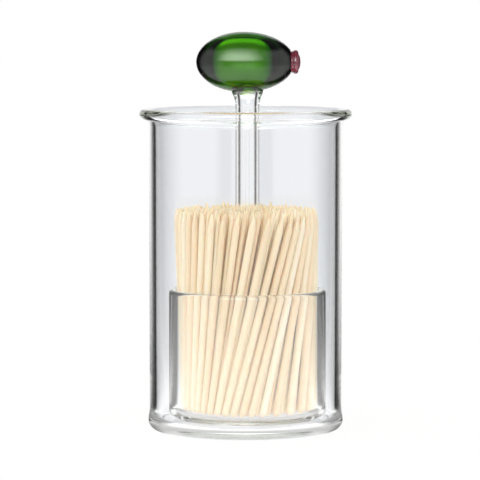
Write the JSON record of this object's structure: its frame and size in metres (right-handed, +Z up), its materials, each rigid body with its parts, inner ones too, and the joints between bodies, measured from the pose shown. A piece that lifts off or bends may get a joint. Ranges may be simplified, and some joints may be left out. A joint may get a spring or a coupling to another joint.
{
  "type": "glass toothpick holder",
  "caption": "Flared glass jar with a lift-out glass cup of wooden toothpicks on a hollow stem, raised by a hollow olive-shaped glass knob with a red end.",
  "frame": {"origin": "middle of the jar's underside, on the surface it stands on", "axes": "+Z up along the jar's axis, +X towards the olive's red end, -Y towards the viewer of the picture"},
  "size_m": [0.0694, 0.0694, 0.13],
  "materials": {
    "clear_glass": "clear, fire-polished",
    "green_glass": "clear olive-green, fire-polished",
    "red_glass": "cloudy pinkish red, fire-polished",
    "toothpick_wood": "bare pale birch"
  },
  "bodies": {
    "jar": {"outer_jar": "clear_glass"},
    "lifter": {"inner_cup": "clear_glass", "stem_tube": "clear_glass", "olive_shell": "green_glass", "pimento": "red_glass", "toothpick_core": "toothpick_wood", "toothpick_02": "toothpick_wood", "toothpick_03": "toothpick_wood", "toothpick_04": "toothpick_wood", "toothpick_05": "toothpick_wood", "toothpick_06": "toothpick_wood", "toothpick_07": "toothpick_wood", "toothpick_08": "toothpick_wood", "toothpick_09": "toothpick_wood", "toothpick_10": "toothpick_wood", "toothpick_11": "toothpick_wood", "toothpick_12": "toothpick_wood", "toothpick_13": "toothpick_wood", "toothpick_14": "toothpick_wood", "toothpick_15": "toothpick_wood", "toothpick_16": "toothpick_wood", "toothpick_17": "toothpick_wood", "toothpick_18": "toothpick_wood", "toothpick_19": "toothpick_wood", "toothpick_20": "toothpick_wood", "toothpick_21": "toothpick_wood", "toothpick_22": "toothpick_wood", "toothpick_23": "toothpick_wood", "toothpick_24": "toothpick_wood", "toothpick_25": "toothpick_wood", "toothpick_26": "toothpick_wood", "toothpick_27": "toothpick_wood", "toothpick_28": "toothpick_wood", "toothpick_29": "toothpick_wood", "toothpick_30": "toothpick_wood", "toothpick_31": "toothpick_wood", "toothpick_32": "toothpick_wood", "toothpick_33": "toothpick_wood", "toothpick_34": "toothpick_wood", "toothpick_35": "toothpick_wood", "toothpick_36": "toothpick_wood", "toothpick_37": "toothpick_wood", "toothpick_38": "toothpick_wood", "toothpick_39": "toothpick_wood", "toothpick_40": "toothpick_wood", "toothpick_41": "toothpick_wood", "toothpick_42": "toothpick_wood", "toothpick_43": "toothpick_wood", "toothpick_44": "toothpick_wood", "toothpick_45": "toothpick_wood", "toothpick_46": "toothpick_wood", "toothpick_47": "toothpick_wood", "toothpick_48": "toothpick_wood", "toothpick_49": "toothpick_wood", "toothpick_50": "toothpick_wood"},
    "loose_toothpick": {"toothpick_01": "toothpick_wood"}
  },
  "joints": [
    {"name": "lifter_lift", "type": "slide", "parent": "jar", "child": "lifter", "axis": [0, 0, 1], "range_m": [0, 0.11]},
    {"name": "toothpick_draw", "type": "slide", "parent": "lifter", "child": "loose_toothpick", "axis": [0.2051, 0, 0.9788], "range_m": [0, 0.07]}
  ]
}
